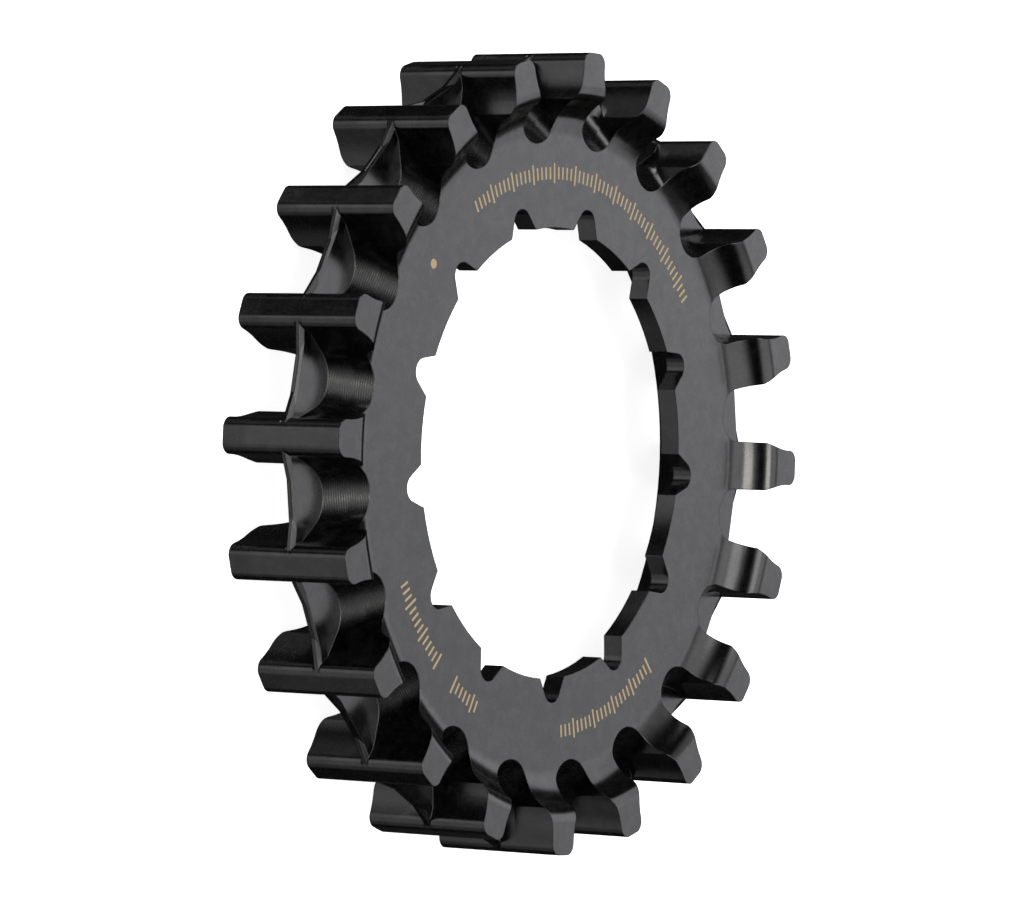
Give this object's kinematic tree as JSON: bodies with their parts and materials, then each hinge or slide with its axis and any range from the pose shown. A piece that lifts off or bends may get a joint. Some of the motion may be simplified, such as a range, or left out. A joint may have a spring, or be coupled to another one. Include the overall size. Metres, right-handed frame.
{
  "type": "belt drive sprocket",
  "caption": "Toothed belt sprocket ring with a central web between its teeth and a notched bore flange set back from the front, machined in one piece.",
  "frame": {"origin": "on the axis of the bore, in the plane of the teeth's back ends", "axes": "+Z along the axis towards the front face, +Y through the middle of one tooth gap and of one bore notch"},
  "size_m": [0.068, 0.068, 0.012],
  "materials": {
    "sprocket": "satin black coating on machined steel"
  },
  "bodies": {
    "root": {"sprocket": "sprocket"}
  },
  "joints": []
}
